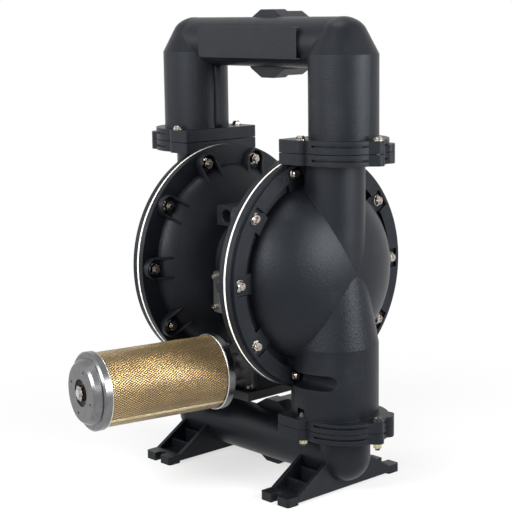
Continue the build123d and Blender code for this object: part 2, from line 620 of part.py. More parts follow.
# ---------------------------------------------------------------- centre section
def make_centre_body():
    """Hub between the air caps, with the valve block, the inlet boss and the exhaust chamber."""
    body = cyl_x(HUB_R, -HUB_X, HUB_X, z=AXIS_Z)
    body += block(-BLOCK_X, BLOCK_X, -BLOCK_Y, 0, COVER_Z - COVER_H / 2, COVER_Z + COVER_H / 2)
    body += block(-CHAMBER_X, CHAMBER_X, -EXHAUST_Y, EXHAUST_Y, CHAMBER_Z0, AXIS_Z - HUB_R / 2)
    boss_h = 2 * INLET_R + 10
    body += block(-BLOCK_X * 0.6, BLOCK_X * 0.6, -INLET_Y, 0, INLET_Z - boss_h / 2, INLET_Z + boss_h / 2)
    body += cyl_x(boss_h / 2, -BLOCK_X * 0.6, BLOCK_X * 0.6, y=0, z=INLET_Z)
    body -= cyl_x(ROD_R + 1.5, -HUB_X - 1, HUB_X + 1, z=AXIS_Z)
    for side in (1, -1):
        x0, x1 = sorted((side * (HUB_X + 1), side * (HUB_X - BUSH_L)))
        body -= cyl_x(BUSH_R + FIT, x0, x1, z=AXIS_Z)
    body -= cyl_x(SPOOL_R + FIT, -BLOCK_X - 6, BLOCK_X + 6, y=-SPOOL_Y, z=COVER_Z)
    for side in (1, -1):
        x0, x1 = sorted((side * BLOCK_X, side * (HUB_X + 1)))
        body -= cyl_x(SPOOL_R + 6 + SLIP, x0, x1, y=-SPOOL_Y, z=COVER_Z)
    body -= cyl_y(INLET_R, -INLET_Y - 1, -INLET_Y + INLET_DEPTH, z=INLET_Z)
    body -= cyl_y(ADAPTER_R - 6, -EXHAUST_Y - 1, -EXHAUST_Y + 40, z=EXHAUST_Z)
    for x, z in cover_screw_spots():
        body -= cyl_y(SCREW_R + FIT, -BLOCK_Y - 1, -BLOCK_Y + 14, x, z)
    for x, z in exhaust_screw_spots():
        body -= cyl_y(SCREW_R + FIT, -EXHAUST_Y - 1, -EXHAUST_Y + 14, x, z)
    return body


def cover_screw_spots():
    return [(sx * COVER_SCREW_X, COVER_Z + sz * COVER_SCREW_Z) for sx in (1, -1) for sz in (1, -1)]


def exhaust_screw_spots():
    d = ADAPTER_R + 7
    return [(sx * d, EXHAUST_Z + sz * d) for sx in (1, -1) for sz in (1, -1)]


def make_valve_cover():
    plate = block(-BLOCK_X, BLOCK_X, -BLOCK_Y - COVER_T, -BLOCK_Y,
                  COVER_Z - COVER_H / 2, COVER_Z + COVER_H / 2)
    plate = fillet(plate.edges().filter_by(Axis.Y), 5.0)
    for x, z in cover_screw_spots():
        plate -= cyl_y(SCREW_R + SLIP, -BLOCK_Y - COVER_T - 1, -BLOCK_Y + 1, x, z)
    return plate


def make_screw(length):
    """Socket head screw: the seat is y = 0 and the head points to -Y."""
    socket = Pos(0, -SCREW_HEAD_H, 0) * Rot(-90, 0, 0) * hexagon(5.0, 3.0)
    head = cyl_y(SCREW_HEAD_R, -SCREW_HEAD_H, 0) - socket
    return head + cyl_y(SCREW_R, 0, length)


def make_spool():
    """Valve spool with three sealing lands."""
    end = BLOCK_X - END_CAP_T / 2 - SPOOL_STROKE
    spool = cyl_x(SPOOL_R * 0.6, -end, end, y=-SPOOL_Y, z=COVER_Z)
    for x in (-end + 7, 0, end - 7):
        spool += cyl_x(SPOOL_R, x - 7, x + 7, y=-SPOOL_Y, z=COVER_Z)
    return spool


def make_end_caps():
    caps = []
    for side in (1, -1):
        x0, x1 = sorted((side * BLOCK_X, side * (BLOCK_X + END_CAP_T)))
        caps.append(cyl_x(SPOOL_R + 6, x0, x1, y=-SPOOL_Y, z=COVER_Z))
    return group(caps)


def make_base_plate():
    return block(-BLOCK_X, BLOCK_X, -EXHAUST_Y - 22, EXHAUST_Y, CHAMBER_Z0 - BASE_T, CHAMBER_Z0)


# ---------------------------------------------------------------- exhaust silencer
def along_muffler(shape):
    """Places a shape built along -Y from the bend of the adapter."""
    return Pos(0, -EXHAUST_Y - COVER_PLATE_T - ADAPTER_L / 2, EXHAUST_Z) * Rot(0, 0, -MUFFLER_TURN) * shape


def make_exhaust_adapter():
    """Bolted elbow that turns the exhaust port towards the silencer's axis."""
    d = ADAPTER_R + 7 + SCREW_HEAD_R + 1
    y0 = -EXHAUST_Y - COVER_PLATE_T
    plate = block(-d, d, y0, -EXHAUST_Y, EXHAUST_Z - d, EXHAUST_Z + d)
    plate = fillet(plate.edges().filter_by(Axis.Y), 7.0)
    body = plate + cyl_y(ADAPTER_R, y0 - ADAPTER_L / 2, y0, z=EXHAUST_Z)
    body += Pos(0, y0 - ADAPTER_L / 2, EXHAUST_Z) * Sphere(ADAPTER_R)
    body += along_muffler(cyl_y(ADAPTER_R, -ADAPTER_L, 0))
    body -= cyl_y(ADAPTER_R - 6, y0 - ADAPTER_L / 2, -EXHAUST_Y + ADAPTER_R, z=EXHAUST_Z)
    body -= along_muffler(cyl_y(ADAPTER_R - 6, -ADAPTER_L - 1, 0) + Sphere(ADAPTER_R - 6))
    for x, z in exhaust_screw_spots():
        body -= cyl_y(SCREW_R + SLIP, y0 - 1, -EXHAUST_Y + 1, x, z)
    return body


def muffler_cap(face_h, face_r):
    """End cap of the silencer: a skirt over the sleeve, a step and a raised face towards -Y."""
    pts = [(0, 0), (MUFFLER_R - 1, 0), (MUFFLER_R, -1), (MUFFLER_R, -RIM_L + 3), (MUFFLER_R - 3, -RIM_L),
           (face_r + 4, -RIM_L), (face_r, -RIM_L - face_h + 4), (face_r - 4, -RIM_L - face_h),
           (0, -RIM_L - face_h)]
    face = make_face(Polyline(*pts, close=True))
    cap = revolve(face, Axis.Y, 360)
    groove = cyl_y(SLEEVE_R + SEATED, -RIM_L + 4, 1) - cyl_y(SLEEVE_R - SLEEVE_T - SEATED, -RIM_L + 3, 2)
    return cap - groove


def make_muffler_front():
    cap = muffler_cap(MUF_FACE_H, MUF_FACE_R)
    y = -RIM_L - MUF_FACE_H
    cap -= cyl_y(MUF_RECESS_R, y - 1, y + MUF_RECESS_D)
    cap -= cyl_y(TIE_R + FIT, y - 2, 1)
    for i in range(4):
        a = math.radians(90 * i + 72)
        x, z = MUF_HOLE_PCD_R * math.cos(a), MUF_HOLE_PCD_R * math.sin(a)
        cap -= cyl_y(MUF_HOLE_R, y - 1, 1, x, z)
    return cap


def muffler_y(distance):
    """Distance along the silencer's axis from the adapter's bend, measured towards -Y."""
    return -(ADAPTER_L + distance)


def make_muffler():
    """The five pieces of the silencer, each placed on its turned axis."""
    rear = mirror(muffler_cap(4.0, MUF_FACE_R), Plane.XZ)
    rear = Pos(0, muffler_y(RIM_L + 4.0), 0) * rear - cyl_y(TIE_R + FIT, muffler_y(60), 0)
    front_y = muffler_y(MUFFLER_L - RIM_L - MUF_FACE_H)
    front = Pos(0, front_y, 0) * make_muffler_front()
    s0, s1 = muffler_y(4.0 + 4.0 + SEATED), front_y - RIM_L + 4 + SEATED
    sleeve = cyl_y(SLEEVE_R, s1, s0) - cyl_y(SLEEVE_R - SLEEVE_T, s1 - 1, s0 + 1)
    seat = front_y - RIM_L - MUF_FACE_H + MUF_RECESS_D
    tie = cyl_y(TIE_R, seat - MUF_NUT_H - 3, muffler_y(-8))
    nut = Pos(0, seat, 0) * Rot(90, 0, 0) * (hexagon(24.0, MUF_NUT_H) - cyl_z(TIE_R + FIT, -1, MUF_NUT_H + 1))
    return [along_muffler(s) for s in (rear, sleeve, front, tie, nut)]


# ---------------------------------------------------------------- seats, balls, fasteners
def make_seat(z):
    return turned_z(Polyline(
        (SEAT_BORE_R, z - SEAT_H / 2), (SEAT_OUT_R, z - SEAT_H / 2), (SEAT_OUT_R, z + SEAT_H / 2),
        (SEAT_BORE_R + SEAT_CHAMFER, z + SEAT_H / 2), (SEAT_BORE_R, z + SEAT_H / 2 - SEAT_CHAMFER),
        close=True))


def clamp_bolts():
    """Clamp bolts of the right disc: heads on the fluid cap."""
    grip = CAP_X1 - AIR_X0 + NUT_BOSS_H - NUT_POCKET_D
    bolt = make_bolt(grip + NUT_H + WASHER_T + THREAD_PROUD, BOLT_R, HEX_AF, HEAD_H, WASHER_R, WASHER_T)
    return [on_disc(a, Pos(CAP_X1, CLAMP_PCD_R, 0) * Rot(0, 90, 0) * bolt) for a in clamp_spots()]


def clamp_nuts():
    nut = make_nut(BOLT_R, HEX_AF, NUT_H, WASHER_R, WASHER_T)
    x = AIR_X0 - NUT_BOSS_H + NUT_POCKET_D
    return [on_disc(a, Pos(x, CLAMP_PCD_R, 0) * Rot(0, 90, 0) * nut) for a in clamp_spots()]


def flange_bolts(z_seat, length):
    """Bolts of both flanges of one manifold, with their heads above z_seat."""
    bolt = make_bolt(length, FLANGE_SHANK_R, FLANGE_AF, FLANGE_HEAD_H, FLANGE_WASHER_R, FLANGE_WASHER_T)
    spots = flange_holes(1) + flange_holes(-1)
    return group([Pos(x, y, z_seat) * Rot(0, 0, 15 * i) * bolt for i, (x, y) in enumerate(spots)])


def flange_nuts(z_seat):
    """Nuts of both lower flanges, below z_seat."""
    nut = make_nut(FLANGE_SHANK_R, FLANGE_AF, FLANGE_NUT_H, FLANGE_WASHER_R, FLANGE_WASHER_T)
    spots = flange_holes(1) + flange_holes(-1)
    return group([Pos(x, y, z_seat) * Rot(0, 0, 10 * i) * nut for i, (x, y) in enumerate(spots)])


def save(name, shape):
    export_step(shape, os.path.join("parts", name + ".step"))


fluid_cap = make_fluid_cap()
air_cap = make_air_cap()
diaphragm = make_diaphragm()
inner_plate, outer_plate = make_inner_plate(), make_outer_plate()
bolts, nuts = clamp_bolts(), clamp_nuts()

save("outlet_manifold", make_outlet_manifold())
save("inlet_manifold", make_inlet_manifold())
save("fluid_cap_right", fluid_cap)
save("fluid_cap_left", half_turned(fluid_cap))
save("air_cap_right", air_cap)
save("air_cap_left", mirrored(air_cap))
save("diaphragm_right", diaphragm)
save("diaphragm_left", mirrored(diaphragm))
save("inner_plate_right", inner_plate)
save("inner_plate_left", mirrored(inner_plate))
save("outer_plate_right", outer_plate)
save("outer_plate_left", mirrored(outer_plate))
save("connecting_rod", make_rod())
save("rod_bushings", make_bushings())
save("centre_body", make_centre_body())
save("valve_cover", make_valve_cover())
save("valve_spool", make_spool())
save("spool_end_caps", make_end_caps())
save("centre_base_plate", make_base_plate())
save("exhaust_adapter", make_exhaust_adapter())
muffler_names = ("muffler_rear_cap", "muffler_sleeve", "muffler_front_cap", "muffler_tie_rod", "muffler_nut")
for name, piece in zip(muffler_names, make_muffler()):
    save(name, piece)

ball = Sphere(BALL_R)
for name, side, z in (("outlet_right", 1, UP_JOINT_Z), ("outlet_left", -1, UP_JOINT_Z),
                      ("inlet_right", 1, LOW_JOINT_Z), ("inlet_left", -1, LOW_JOINT_Z)):
    save("ball_" + name, Pos(side * PORT_X, 0, ball_rest(z)) * ball)
save("outlet_seats", group([Pos(s * PORT_X, 0, 0) * make_seat(UP_JOINT_Z) for s in (1, -1)]))
save("inlet_seats", group([Pos(s * PORT_X, 0, 0) * make_seat(LOW_JOINT_Z) for s in (1, -1)]))

save("clamp_bolts_right", group(bolts))
save("clamp_bolts_left", group([mirrored(b) for b in bolts]))
save("clamp_nuts_right", group(nuts))
save("clamp_nuts_left", group([mirrored(n) for n in nuts]))
save("outlet_flange_bolts", flange_bolts(UP_MAN_Z0 + UP_MAN_T, UP_MAN_T + JOINT_GAP + TAPPED_L))
low_grip = HEAD_PAD_H + LOW_CAP_T + JOINT_GAP + LOW_MAN_T
low_length = low_grip + FLANGE_NUT_H + FLANGE_WASHER_T + THREAD_PROUD
save("inlet_flange_bolts", flange_bolts(LOW_CAP_Z0 + LOW_CAP_T + HEAD_PAD_H, low_length))
save("inlet_flange_nuts", flange_nuts(LOW_MAN_Z1 - LOW_MAN_T))
cover_screw = make_screw(COVER_T + 12)
save("cover_screws", group([Pos(x, -BLOCK_Y - COVER_T, z) * cover_screw for x, z in cover_screw_spots()]))
adapter_screw = make_screw(COVER_PLATE_T + 12)
save("adapter_screws", group([Pos(x, -EXHAUST_Y - COVER_PLATE_T, z) * adapter_screw
                              for x, z in exhaust_screw_spots()]))
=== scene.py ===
"""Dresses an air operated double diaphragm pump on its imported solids."""

from __future__ import annotations

import json
import logging
import math
from dataclasses import dataclass, field
from enum import Enum
from typing import Any

import bpy
import numpy as np
from mathutils import Matrix, Vector


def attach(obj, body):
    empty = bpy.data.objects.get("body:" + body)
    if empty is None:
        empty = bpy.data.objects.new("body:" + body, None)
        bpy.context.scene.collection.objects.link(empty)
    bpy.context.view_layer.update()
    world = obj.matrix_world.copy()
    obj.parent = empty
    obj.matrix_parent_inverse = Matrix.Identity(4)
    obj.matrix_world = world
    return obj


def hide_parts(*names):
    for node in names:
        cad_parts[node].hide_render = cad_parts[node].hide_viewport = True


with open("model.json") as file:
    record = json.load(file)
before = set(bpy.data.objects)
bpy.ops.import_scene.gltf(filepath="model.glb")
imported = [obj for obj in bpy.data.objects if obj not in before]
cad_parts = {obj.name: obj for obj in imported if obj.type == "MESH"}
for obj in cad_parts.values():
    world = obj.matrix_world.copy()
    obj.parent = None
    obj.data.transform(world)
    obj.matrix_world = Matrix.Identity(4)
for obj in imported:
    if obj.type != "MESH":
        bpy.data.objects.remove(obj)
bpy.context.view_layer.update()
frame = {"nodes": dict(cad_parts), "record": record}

log = logging.getLogger("pump")
Colour = tuple[float, float, float]

# The Mix node gives its number and colour sockets the same names, so the colour ones go by place.
MIX_FACTOR, MIX_LOW, MIX_HIGH, MIX_RESULT = 0, 6, 7, 2
BEVEL_SAMPLES = 4
EDGE_SPAN = (0.02, 0.22)  # how far the rounded normal leaves the true one where an edge starts, and is full
AIM = (0.0, 0.0, 0.62)  # the point on the pump at which every lamp looks


# ---------------------------------------------------------------- shader maths
class Sock:
    """A shader socket that takes part in Python arithmetic."""

    def __init__(self, graph: "Graph", socket: bpy.types.NodeSocket) -> None:
        """Keeps the socket and the graph it belongs to."""
        self.graph, self.socket = graph, socket

    def _op(self, kind: str, *values: Any) -> "Sock":
        """Adds one Math node whose inputs are the given values."""
        node = self.graph.node("ShaderNodeMath", {"operation": kind}, dict(enumerate(values)))
        return Sock(self.graph, node.outputs[0])

    def __add__(self, other: Any) -> "Sock":
        """Sum."""
        return self._op("ADD", self, other)

    __radd__ = __add__

    def __sub__(self, other: Any) -> "Sock":
        """Difference."""
        return self._op("SUBTRACT", self, other)

    def __rsub__(self, other: Any) -> "Sock":
        """Difference, reflected."""
        return self._op("SUBTRACT", other, self)

    def __mul__(self, other: Any) -> "Sock":
        """Product."""
        return self._op("MULTIPLY", self, other)

    __rmul__ = __mul__

    def sine(self) -> "Sock":
        """Sine of the value in radians."""
        return self._op("SINE", self)

    def magnitude(self) -> "Sock":
        """Absolute value."""
        return self._op("ABSOLUTE", self)

    def least(self, other: Any) -> "Sock":
        """Smaller of two values."""
        return self._op("MINIMUM", self, other)

    def most(self, other: Any) -> "Sock":
        """Larger of two values."""
        return self._op("MAXIMUM", self, other)

    def step(self, low: float, high: float) -> "Sock":
        """Smooth step that rises from 0 at low to 1 at high."""
        node = self.graph.node("ShaderNodeMapRange", {"interpolation_type": "SMOOTHSTEP"},
                               {"Value": self, "From Min": low, "From Max": high})
        return Sock(self.graph, node.outputs[0])


class Graph:
    """The node tree of one material."""

    def __init__(self, name: str) -> None:
        """Makes an empty material with an output node.

        Args:
            name: the material's name.
        """
        self.material = bpy.data.materials.new(name)
        self.material.use_nodes = True
        self.tree = self.material.node_tree
        self.tree.nodes.clear()
        self.end = self.node("ShaderNodeOutputMaterial", {}, {})

    def node(self, kind: str, settings: dict[str, Any], sockets: dict[Any, Any]) -> bpy.types.Node:
        """Adds one node.

        Args:
            kind: the node's type.
            settings: its own settings, set before the sockets.
            sockets: values or links by socket name or number.

        Returns:
            The new node.
        """
        node = self.tree.nodes.new(kind)
        for key, value in settings.items():
            setattr(node, key, value)
        for key, value in sockets.items():
            if isinstance(value, Sock):
                self.tree.links.new(value.socket, node.inputs[key])
            elif isinstance(value, tuple) and len(value) == 3 and node.inputs[key].type == "RGBA":
                node.inputs[key].default_value = (*value, 1.0)
            else:
                node.inputs[key].default_value = value
        return node

    def out(self, node: bpy.types.Node, name: Any = 0) -> Sock:
        """One output of a node, ready for arithmetic."""
        return Sock(self, node.outputs[name])

    def place(self, kind: str = "Object") -> Sock:
        """Coordinates of the shaded point: Object, or UV."""
        return self.out(self.node("ShaderNodeTexCoord", {}, {}), kind)

    def noise(self, scale: float, detail: float = 3.0, rough: float = 0.5, where: Sock | None = None) -> Sock:
        """Noise from 0 to 1 at a scale given in cycles a metre."""
        return self.out(self.node("ShaderNodeTexNoise", {}, {
            "Vector": where or self.place(), "Scale": scale, "Detail": detail, "Roughness": rough}), "Fac")

    def mix(self, factor: Sock, low: Any, high: Any) -> Sock:
        """Colour between low and high by factor."""
        node = self.node("ShaderNodeMix", {"data_type": "RGBA"}, {MIX_FACTOR: factor, MIX_LOW: low, MIX_HIGH: high})
        return self.out(node, MIX_RESULT)

    def bump(self, height: Sock, strength: float, distance: float, edge: float = 0.0) -> Sock:
        """Normal raised by a height from 0 to 1.

        Args:
            height: the height.
            strength: how much of it shows.
            distance: its full height in metres.
            edge: radius in metres by which sharp edges are softened, or 0.

        Returns:
            The normal.
        """
        sockets = {"Height": height, "Strength": strength, "Distance": distance}
        if edge:
            soft = self.node("ShaderNodeBevel", {"samples": BEVEL_SAMPLES}, {"Radius": edge})
            sockets["Normal"] = self.out(soft, 0)
        return self.out(self.node("ShaderNodeBump", {}, sockets), 0)

    def edge(self, radius: float) -> Sock:
        """Mask that is 1 on sharp edges: how far the rounded normal leaves the true one."""
        soft = self.out(self.node("ShaderNodeBevel", {"samples": BEVEL_SAMPLES}, {"Radius": radius}))
        true = self.out(self.node("ShaderNodeNewGeometry", {}, {}), "Normal")
        product = self.node("ShaderNodeVectorMath", {"operation": "DOT_PRODUCT"}, {0: soft, 1: true})
        return (1.0 - self.out(product, "Value")).step(*EDGE_SPAN)

    def finish(self, **sockets: Any) -> bpy.types.Material:
        """Ends the graph with one Principled shader whose sockets are named with underscores."""
        shader = self.node("ShaderNodeBsdfPrincipled", {}, {k.replace("_", " "): v for k, v in sockets.items()})
        self.tree.links.new(shader.outputs[0], self.end.inputs[0])
        return self.material


# ---------------------------------------------------------------- finishes
@dataclass(frozen=True)
class Paint:
    """Satin stove paint over cast metal: orange peel, faint casting grain, dust in patches, and a painted highlight
    that lightens sharp edges towards the dust colour.
    """

    name: str
    colour: Colour
    dust_and_highlight: Colour
    roughness: float = 0.365
    sheen: float = 0.165
    tint: tuple[float, float, float, float] = (0.89, 0.94, 1.0, 1.0)
    peel_scale: float = 360.0
    grain_scale: float = 1500.0
    patch_scale: float = 16.0
    # radius of the edge mask that paints a highlight, partly edge wear, along sharp edges
    worn_and_highlit_edge: float = 0.0016
    soft_edge: float = 0.0014
    relief: float = 0.0009

    def build(self) -> bpy.types.Material:
        """Makes the material."""
        g = Graph(self.name)
        peel, grain = g.noise(self.peel_scale, 3.0, 0.7), g.noise(self.grain_scale, 3.0, 0.6)
        patch = g.noise(self.patch_scale, 4.0, 0.6)
        dusty = patch.step(0.50, 0.78) * 0.25 + grain.step(0.62, 0.72) * 0.35
        # Painted highlight: sharp edges are lightened towards the dust colour, standing in for edges catching the
        # light, and partly for edge wear.
        dust_and_edge_highlight = dusty.most(g.edge(self.worn_and_highlit_edge) * 0.8)
        return g.finish(
            Base_Color=g.mix(dust_and_edge_highlight, self.colour, self.dust_and_highlight),
            Roughness=self.roughness + (patch - 0.5) * 0.14 + (grain - 0.5) * 0.10,
            Specular_IOR_Level=self.sheen,
            Specular_Tint=self.tint,
            Normal=g.bump(peel * 0.75 + grain * 0.25, 0.7, self.relief, self.soft_edge),
        )


@dataclass(frozen=True)
class Metal:
    """Bare or plated metal: mottled colour, fine scratches, stains in patches."""

    name: str
    colour: Colour
    stain: Colour
    roughness: float
    grain: float = 900.0
    stained: float = 0.35
    patches: float = 64.0
    relief: float = 0.0002
    soft_edge: float = 0.0005

    def build(self) -> bpy.types.Material:
        """Makes the material."""
        g = Graph(self.name)
        fine, patch = g.noise(self.grain, 3.0, 0.6), g.noise(self.patches, 2.0)
        return g.finish(
            Base_Color=g.mix(patch.step(0.42, 0.74) * self.stained, self.colour, self.stain),
            Metallic=1.0,
            Roughness=self.roughness + (fine - 0.5) * 0.16 + (patch - 0.5) * 0.10,
            Normal=g.bump(fine * 0.5 + patch * 0.5, 0.35, self.relief, self.soft_edge),
        )


@dataclass(frozen=True)
class Moulded:
    """Moulded or sheet polymer: even colour, slight mottle and skin texture."""

    name: str
    colour: Colour
    shade: Colour
    roughness: float
    skin_scale: float = 800.0
    patch_scale: float = 30.0
    relief: float = 0.0001

    def build(self) -> bpy.types.Material:
        """Makes the material."""
        g = Graph(self.name)
        skin, patch = g.noise(self.skin_scale, 2.0), g.noise(self.patch_scale, 3.0)
        return g.finish(
            Base_Color=g.mix(patch.step(0.40, 0.75) * 0.5, self.colour, self.shade),
            Roughness=self.roughness + (skin - 0.5) * 0.12,
            Normal=g.bump(skin, 0.2, self.relief),
        )


@dataclass(frozen=True)
class Expanded:
    """Gold expanded-metal mesh: two crossing sets of strands with dark diamonds between them."""

    name: str
    strand: Colour
    tarnish: Colour
    gap: Colour
    pitch: float = 0.0042
    squash: float = 0.62
    drawn: tuple[float, float, float] = (46.0, 9.0, 1.0)
    patch_scale: float = 22.0
    relief: float = 0.0007

    def build(self) -> bpy.types.Material:
        """Makes the material.

        The strand height is the larger of two ridges, sin of the sum and of the difference of the
        distances along and round the sleeve, each divided by the pitch. The distance along is first
        multiplied by the squash, which makes the diamonds longer than they are wide.
        """
        g = Graph(self.name)
        split = g.node("ShaderNodeSeparateXYZ", {}, {0: g.place("UV")})
        u, v = g.out(split, 0), g.out(split, 1) * self.squash
        turn = math.pi / self.pitch
        one, two = ((u + v) * turn).sine().magnitude(), ((u - v) * turn).sine().magnitude()
        ridge = (1.0 - one.least(two)).step(0.46, 0.94)
        drawn = g.node("ShaderNodeVectorMath", {"operation": "MULTIPLY"}, {0: g.place("UV"), 1: self.drawn})
        streak, patch = g.noise(1.0, 3.0, 0.55, g.out(drawn)), g.noise(self.patch_scale, 3.0)
        metal = g.mix((streak * 0.7 + patch * 0.3).step(0.36, 0.70) * 0.75, self.strand, self.tarnish)
        return g.finish(
            Base_Color=g.mix(ridge, self.gap, metal),
            Metallic=ridge * 0.85 + 0.1,
            Roughness=0.46 - ridge * 0.22,
            Normal=g.bump(ridge, 0.8, self.relief),
        )


class Look(Enum):
    """Every finish of the pump, by the record's material slot."""

    # The casting's second colour is dust and also the painted highlight on sharp edges.
    CASTING = ("casting", Paint("satin_black_paint", (0.0058, 0.0068, 0.0092), (0.022, 0.024, 0.029)))
    COVER = ("cover", Metal("grey_die_casting", (0.21, 0.21, 0.21), (0.13, 0.13, 0.135), 0.40, 900, 0.6, 170))
    DIAPHRAGM = ("diaphragm", Moulded("white_sheet", (0.80, 0.79, 0.75), (0.70, 0.68, 0.62), 0.42))
    BOLT = ("bolt", Metal("plated_steel", (0.46, 0.42, 0.38), (0.055, 0.040, 0.030), 0.20, 1300, 1.0, 240))
    BLACK_BOLT = ("black_bolt", Metal(
        "worn_black_bolt", (0.050, 0.050, 0.055), (0.34, 0.33, 0.31), 0.36, 900, 0.6, 200))
    ZINC = ("zinc", Metal("yellow_zinc", (0.50, 0.47, 0.30), (0.20, 0.15, 0.06), 0.28, 1400, 0.8, 200))
    BASE = ("base", Moulded("black_plate", (0.014, 0.014, 0.016), (0.030, 0.030, 0.032), 0.55))
    MUFFLER_CAP = ("muffler_cap", Metal(
        "pressed_aluminium", (0.165, 0.165, 0.17), (0.11, 0.11, 0.115), 0.27, 1100, 0.5, 110))
    MESH = ("muffler_mesh", Expanded("gold_mesh", (0.80, 0.56, 0.245), (0.38, 0.24, 0.09), (0.014, 0.008, 0.003)))
    SEAM = ("muffler_mesh", Metal("gold_strip", (0.60, 0.50, 0.30), (0.30, 0.22, 0.10), 0.30, 900, 0.6))
    # Painted highlight: a far lighter copy of the pressed aluminium, put on the caps' rolled rims where they catch
    # the light.
    EDGE = ("muffler_cap", Metal("rim_painted_highlight", (0.62, 0.62, 0.62), (0.40, 0.40, 0.40), 0.22, 1100, 0.5))
    STEEL = ("inner_steel", Metal("machined_steel", (0.56, 0.56, 0.56), (0.44, 0.43, 0.42), 0.28, 1600))
    BALL = ("ball", Moulded("white_ball", (0.80, 0.80, 0.77), (0.72, 0.71, 0.66), 0.45))
    BUSHING = ("bushing", Moulded("ivory_bearing", (0.62, 0.58, 0.48), (0.52, 0.47, 0.38), 0.38))

    def __init__(self, slot: str, finish: Any) -> None:
        """Splits the member's value into its slot and its finish."""
        self.slot, self.finish = slot, finish

    def material(self) -> bpy.types.Material:
        """The member's material, made once."""
        return bpy.data.materials.get(self.finish.name) or self.finish.build()


# ---------------------------------------------------------------- surfaces
def surface(name: str, grid: np.ndarray, look: Look, body: str, uv: np.ndarray | None = None,
            closed: tuple[bool, bool] = (True, True)) -> bpy.types.Object:
    """Makes a quad mesh from one grid of points or several, with the faces of each turned outwards.

    A closed block whose signed volume, the sum of its corner pyramids, is negative has its faces turned round.

    Args:
        name: the piece's name.
        grid: points as rows x columns x 3, or blocks x rows x columns x 3, in metres.
        look: its finish.
        body: the CAD body it rides on.
        uv: rows x columns x 2 of pattern coordinates.
        closed: whether the rows and the columns join up with themselves.

    Returns:
        The new object.
    """
    grid = grid.reshape(-1, *grid.shape[-3:])
    blocks, rows, cols = grid.shape[:3]
    r = np.arange(rows if closed[0] else rows - 1)
    c = np.arange(cols if closed[1] else cols - 1)
    rr, cc = (a.ravel() for a in np.meshgrid(r, c, indexing="ij"))
    r1, c1 = (rr + 1) % rows, (cc + 1) % cols
    quad = np.stack([rr * cols + cc, r1 * cols + cc, r1 * cols + c1, rr * cols + c1], 1)
    flat = grid.reshape(blocks, -1, 3)
    first, second, third, fourth = (flat[:, quad[:, i]] for i in range(4))
    volume = np.einsum("nij,nij->n", first, np.cross(second, third) + np.cross(third, fourth))
    faces = np.concatenate([(quad[:, ::-1] if volume[i] < 0 else quad) + i * rows * cols for i in range(blocks)])
    mesh = bpy.data.meshes.new(name)
    mesh.from_pydata(grid.reshape(-1, 3), [], faces)
    if uv is not None:
        layer = mesh.uv_layers.new(name="pattern")
        layer.data.foreach_set("uv", uv.reshape(-1, 2)[faces.ravel()].astype(np.float32).ravel())
    mesh.materials.append(look.material())
    mesh.polygons.foreach_set("use_smooth", np.ones(len(faces), bool))
    mesh.update()
    piece = bpy.data.objects.new(name, mesh)
    bpy.context.scene.collection.objects.link(piece)
    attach(piece, body)
    return piece


@dataclass
class Line3:
    """An axis in space with two directions across it."""

    start: Vector
    along: Vector
    side: Vector = field(init=False)
    up: Vector = field(init=False)

    def __post_init__(self) -> None:
        """Works out the directions across the axis."""
        self.along = self.along.normalized()
        self.side = self.along.cross(Vector((0, 0, 1))).normalized()
        self.up = self.side.cross(self.along).normalized()

    def points(self, angle: np.ndarray, radius: np.ndarray, run: np.ndarray) -> np.ndarray:
        """Points at an angle about the axis, a radius from it and a distance along it."""
        return (np.array(self.start) + run[..., None] * np.array(self.along)
                + (radius * np.cos(angle))[..., None] * np.array(self.side)
                + (radius * np.sin(angle))[..., None] * np.array(self.up))

    def span(self, node: str) -> tuple[float, float, float]:
        """Least and greatest distance along the axis, and greatest radius, of a CAD node's corners."""
        mesh = frame["nodes"][node].data
        co = np.zeros(len(mesh.vertices) * 3)
        mesh.vertices.foreach_get("co", co)
        rel = co.reshape(-1, 3) - np.array(self.start)
        run = rel @ np.array(self.along)
        off = np.linalg.norm(rel - run[:, None] * np.array(self.along), axis=1)
        return float(run.min()), float(run.max()), float(off.max())


# ---------------------------------------------------------------- sub-assemblies
@dataclass
class Dressing:
    """Gives each CAD node that stays the finish of its record slot."""

    def build(self) -> None:
        """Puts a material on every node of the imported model."""
        looks = {look.slot: look for look in reversed(Look)}
        for part in frame["record"]["subparts"]:
            node = frame["nodes"][part["node"]]
            node.data.materials.clear()
            node.data.materials.append(looks[part["material_slot"]].material())
            log.info("dressed %s as %s", part["node"], part["material_slot"])


